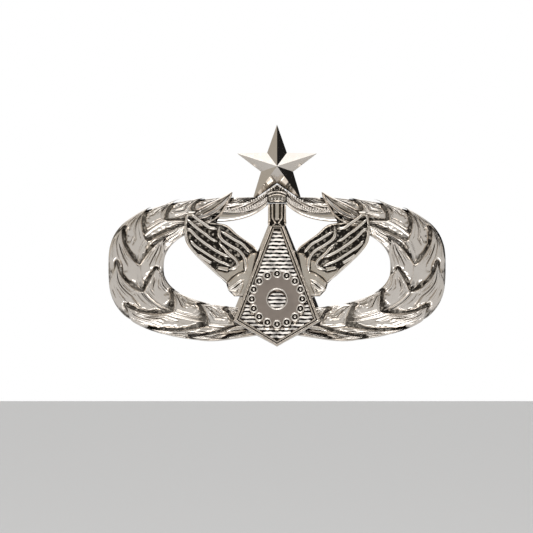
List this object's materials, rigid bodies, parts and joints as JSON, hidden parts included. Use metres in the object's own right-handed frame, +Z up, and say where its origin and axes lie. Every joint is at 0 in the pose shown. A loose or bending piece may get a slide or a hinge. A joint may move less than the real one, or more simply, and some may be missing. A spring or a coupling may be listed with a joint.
{
  "type": "metal insignia badge pin",
  "caption": "Openwork metal badge with a laurel wreath, star, wings and a kite shield with a toothed disc, worn on cloth with two posts and butterfly clutches.",
  "frame": {"origin": "middle of the badge's width and height, on its flat back", "axes": "+Z up as worn, +X across the width, -Y out of the front, so +Y goes back along the posts"},
  "size_m": [0.041, 0.0093, 0.027],
  "materials": {
    "polished_nickel": "polished nickel plating, dark in the recesses",
    "matte_nickel": "matte nickel",
    "brass": "drawn wire, nickel plated",
    "clutch_brass": "stamped and tumbled brass",
    "spring_brass": "spring brass strip"
  },
  "bodies": {
    "badge": {"wreath_left": "polished_nickel", "wreath_right": "polished_nickel", "crest_left": "polished_nickel", "crest_right": "polished_nickel", "star": "polished_nickel", "finial": "polished_nickel", "stem": "polished_nickel", "wing_left": "polished_nickel", "wing_right": "polished_nickel", "shield": "polished_nickel", "toothed_disc": "matte_nickel", "post_left": "brass", "post_right": "brass"},
    "eyelet_body_left": {"eyelet_left": "clutch_brass"},
    "clutch_body_left": {"base_disc_left": "clutch_brass", "housing_left": "clutch_brass"},
    "upper_grip_body_left": {"upper_grip_left": "spring_brass"},
    "lower_grip_body_left": {"lower_grip_left": "spring_brass"},
    "eyelet_body_right": {"eyelet_right": "clutch_brass"},
    "clutch_body_right": {"base_disc_right": "clutch_brass", "housing_right": "clutch_brass"},
    "upper_grip_body_right": {"upper_grip_right": "spring_brass"},
    "lower_grip_body_right": {"lower_grip_right": "spring_brass"}
  },
  "joints": [
    {"name": "clutch_slide_left", "type": "slide", "parent": "badge", "child": "eyelet_body_left", "axis": [0, 1, 0], "range_m": [-0.0021, 0.0052]},
    {"name": "clutch_turn_left", "type": "hinge", "parent": "eyelet_body_left", "child": "clutch_body_left", "pos_m": [-0.0171, 0.003, -0.0031], "axis": [0, 1, 0], "continuous": true},
    {"name": "grip_squeeze_left", "type": "hinge", "parent": "clutch_body_left", "child": "upper_grip_body_left", "pos_m": [-0.0171, 0.0045, -0.002], "axis": [-1, 0, 0], "range_deg": [0, 10], "stiffness_Nm_per_rad": 0.00002, "springref_deg": -8.59},
    {"name": "grip_follow_left", "type": "hinge", "parent": "clutch_body_left", "child": "lower_grip_body_left", "pos_m": [-0.0171, 0.0045, -0.0042], "axis": [1, 0, 0], "range_deg": [0, 10], "stiffness_Nm_per_rad": 0.00002, "springref_deg": -8.59},
    {"name": "clutch_slide_right", "type": "slide", "parent": "badge", "child": "eyelet_body_right", "axis": [0, 1, 0], "range_m": [-0.0021, 0.0052]},
    {"name": "clutch_turn_right", "type": "hinge", "parent": "eyelet_body_right", "child": "clutch_body_right", "pos_m": [0.0171, 0.003, -0.0031], "axis": [0, 1, 0], "continuous": true},
    {"name": "grip_squeeze_right", "type": "hinge", "parent": "clutch_body_right", "child": "upper_grip_body_right", "pos_m": [0.0171, 0.0045, -0.002], "axis": [-1, 0, 0], "range_deg": [0, 10], "stiffness_Nm_per_rad": 0.00002, "springref_deg": -8.59},
    {"name": "grip_follow_right", "type": "hinge", "parent": "clutch_body_right", "child": "lower_grip_body_right", "pos_m": [0.0171, 0.0045, -0.0042], "axis": [1, 0, 0], "range_deg": [0, 10], "stiffness_Nm_per_rad": 0.00002, "springref_deg": -8.59}
  ],
  "couplings": [
    {"joint": "grip_follow_left", "follows": "grip_squeeze_left", "ratio": 1},
    {"joint": "grip_follow_right", "follows": "grip_squeeze_right", "ratio": 1}
  ]
}
